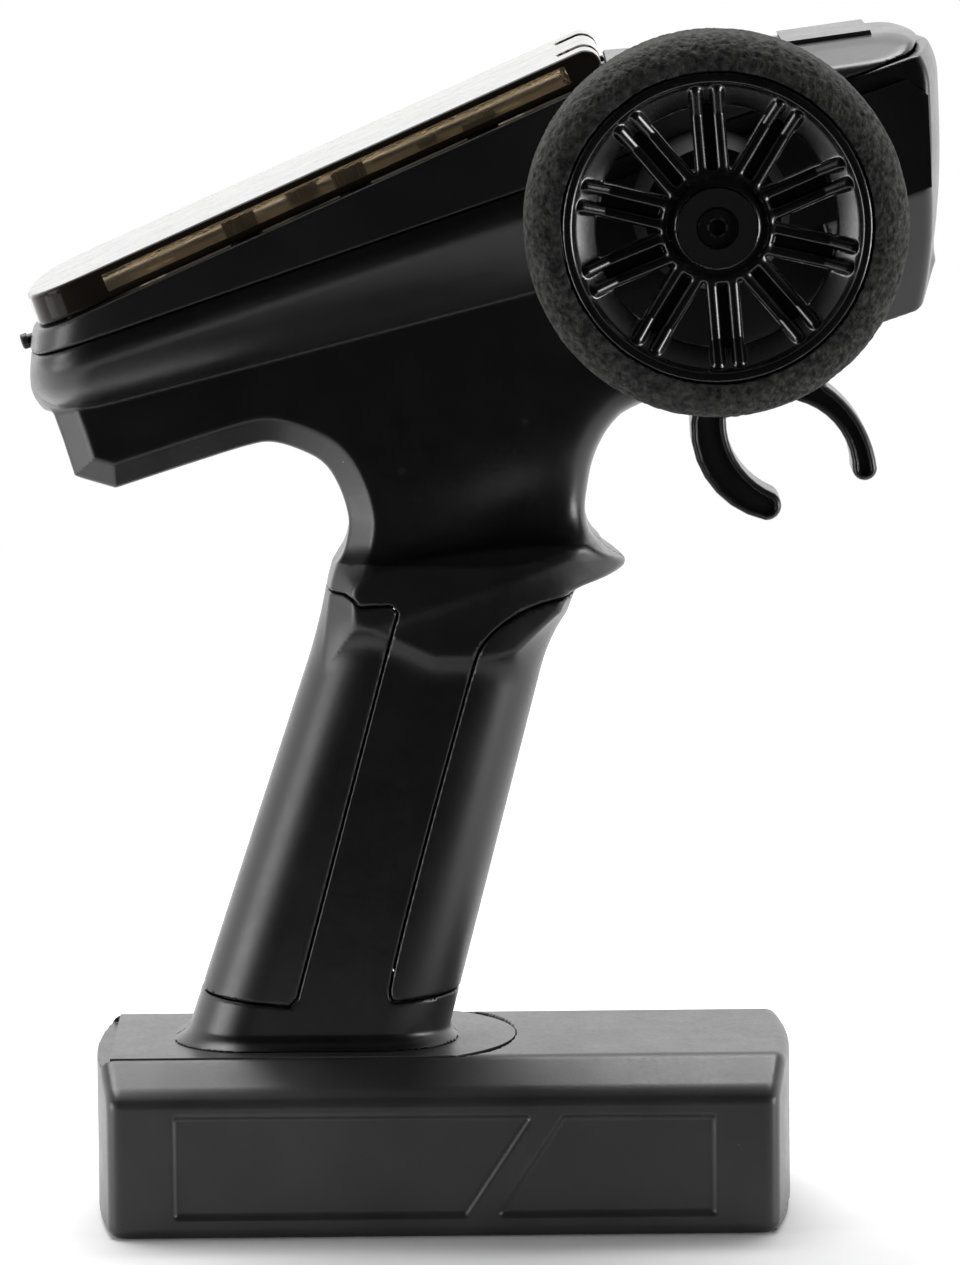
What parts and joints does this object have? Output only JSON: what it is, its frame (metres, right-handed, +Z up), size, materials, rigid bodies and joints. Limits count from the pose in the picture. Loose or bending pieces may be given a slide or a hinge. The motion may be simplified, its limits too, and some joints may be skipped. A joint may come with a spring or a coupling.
{
  "type": "radio transmitter controller",
  "caption": "Pistol-grip radio transmitter with a foam steering wheel, ring trigger, smoked flip-up lid over trim controls, and a weighted battery base.",
  "frame": {"origin": "centre of the base's flat bottom face", "axes": "+X to the front of the transmitter, away from the user; +Y to the left side; +Z up; the wheel is on the -Y side"},
  "size_m": [0.1759, 0.1094, 0.2306],
  "materials": {
    "body_plastic": "satin black",
    "base_plastic": "satin black",
    "grip_rubber": "soft-touch matte black",
    "smoked_plastic": "smoked translucent gloss",
    "cover_plastic": "satin black",
    "foam": "open-cell foam",
    "gloss_black": "gloss black",
    "black_screw": "black oxide",
    "steel": "bright",
    "panel_plastic": "matte black",
    "knob_plastic": "matte black",
    "component_plastic": "moulded",
    "board_green": "solder mask",
    "lamp_red": "clear tinted",
    "lamp_green": "clear tinted",
    "cell_wrap": "printed wrap without marks",
    "contact_brass": "plated",
    "lead_red": "insulated wire"
  },
  "bodies": {
    "chassis": {"antenna": "board_green", "antenna_cover": "cover_plastic", "base_screws": "steel", "base_shell": "base_plastic", "battery_box": "panel_plastic", "battery_cell_1": "cell_wrap", "battery_cell_2": "cell_wrap", "battery_cell_3": "cell_wrap", "battery_cell_4": "cell_wrap", "battery_lamp": "lamp_green", "battery_lead": "lead_red", "battery_springs": "steel", "bottom_plate": "base_plastic", "case_screws": "steel", "contact_plates": "contact_brass", "control_panel": "panel_plastic", "dual_rate_potentiometer": "component_plastic", "foot_plate": "base_plastic", "front_grip_pad": "grip_rubber", "inner_wheel_bearing": "steel", "left_body_shell": "body_plastic", "main_board": "board_green", "outer_wheel_bearing": "steel", "panel_screws": "steel", "power_lamp": "lamp_red", "power_switch_body": "component_plastic", "rear_button_switch": "component_plastic", "rear_grip_pad": "grip_rubber", "right_body_shell": "body_plastic", "steering_potentiometer": "component_plastic", "steering_reverse_switch_body": "component_plastic", "steering_trim_potentiometer": "component_plastic", "throttle_reverse_switch_body": "component_plastic", "throttle_trim_potentiometer": "component_plastic", "trigger_potentiometer": "component_plastic", "trigger_spring": "steel", "upper_case": "body_plastic", "wheel_centring_spring": "steel", "wheel_mount": "body_plastic"},
    "wheel": {"wheel_tyre": "foam", "wheel_rim": "gloss_black", "wheel_cap": "gloss_black", "wheel_screw": "black_screw", "wheel_shaft": "steel"},
    "trigger": {"trigger": "body_plastic", "trigger_shaft": "steel"},
    "lid": {"lid": "smoked_plastic", "lid_hinge_pin": "steel"},
    "steering_trim": {"steering_trim_knob": "knob_plastic"},
    "throttle_trim": {"throttle_trim_knob": "knob_plastic"},
    "dual_rate": {"dual_rate_knob": "knob_plastic"},
    "power_switch": {"power_switch": "knob_plastic"},
    "steering_reverse": {"steering_reverse_switch": "knob_plastic"},
    "throttle_reverse": {"throttle_reverse_switch": "knob_plastic"},
    "rear_button": {"rear_button": "knob_plastic"},
    "battery_door": {"battery_door": "base_plastic"}
  },
  "joints": [
    {"name": "steering", "type": "hinge", "parent": "chassis", "child": "wheel", "pos_m": [0.05172, -0.06, 0.19529], "axis": [0, 1, 0], "range_deg": [-35, 35], "stiffness_Nm_per_rad": 0.05},
    {"name": "trigger_pull", "type": "hinge", "parent": "chassis", "child": "trigger", "pos_m": [0.06275, 0, 0.176], "axis": [0, 1, 0], "range_deg": [-12, 22], "stiffness_Nm_per_rad": 0.05},
    {"name": "lid_hinge", "type": "hinge", "parent": "chassis", "child": "lid", "pos_m": [0.02853, 0, 0.22188], "axis": [0, 1, 0], "range_deg": [0, 100]},
    {"name": "steering_trim_turn", "type": "hinge", "parent": "chassis", "child": "steering_trim", "pos_m": [-0.03676, -0.0235, 0.19322], "axis": [-0.4019, 0, 0.9157], "range_deg": [-135, 135]},
    {"name": "throttle_trim_turn", "type": "hinge", "parent": "chassis", "child": "throttle_trim", "pos_m": [-0.01615, -0.0235, 0.20226], "axis": [-0.4019, 0, 0.9157], "range_deg": [-135, 135]},
    {"name": "dual_rate_turn", "type": "hinge", "parent": "chassis", "child": "dual_rate", "pos_m": [-0.02641, 0.01175, 0.19776], "axis": [-0.4019, 0, 0.9157], "range_deg": [-135, 135]},
    {"name": "power_switch_slide", "type": "slide", "parent": "chassis", "child": "power_switch", "axis": [0.9157, 0, 0.4019], "range_m": [0, 0.003]},
    {"name": "steering_reverse_slide", "type": "slide", "parent": "chassis", "child": "steering_reverse", "axis": [0.9157, 0, 0.4019], "range_m": [0, 0.003]},
    {"name": "throttle_reverse_slide", "type": "slide", "parent": "chassis", "child": "throttle_reverse", "axis": [0.9157, 0, 0.4019], "range_m": [0, 0.003]},
    {"name": "rear_button_press", "type": "slide", "parent": "chassis", "child": "rear_button", "axis": [0.9478, 0, 0.319], "range_m": [0, 0.0008], "stiffness_N_per_m": 150},
    {"name": "battery_door_slide", "type": "slide", "parent": "chassis", "child": "battery_door", "axis": [1, 0, 0], "range_m": [0, 0.009]}
  ]
}
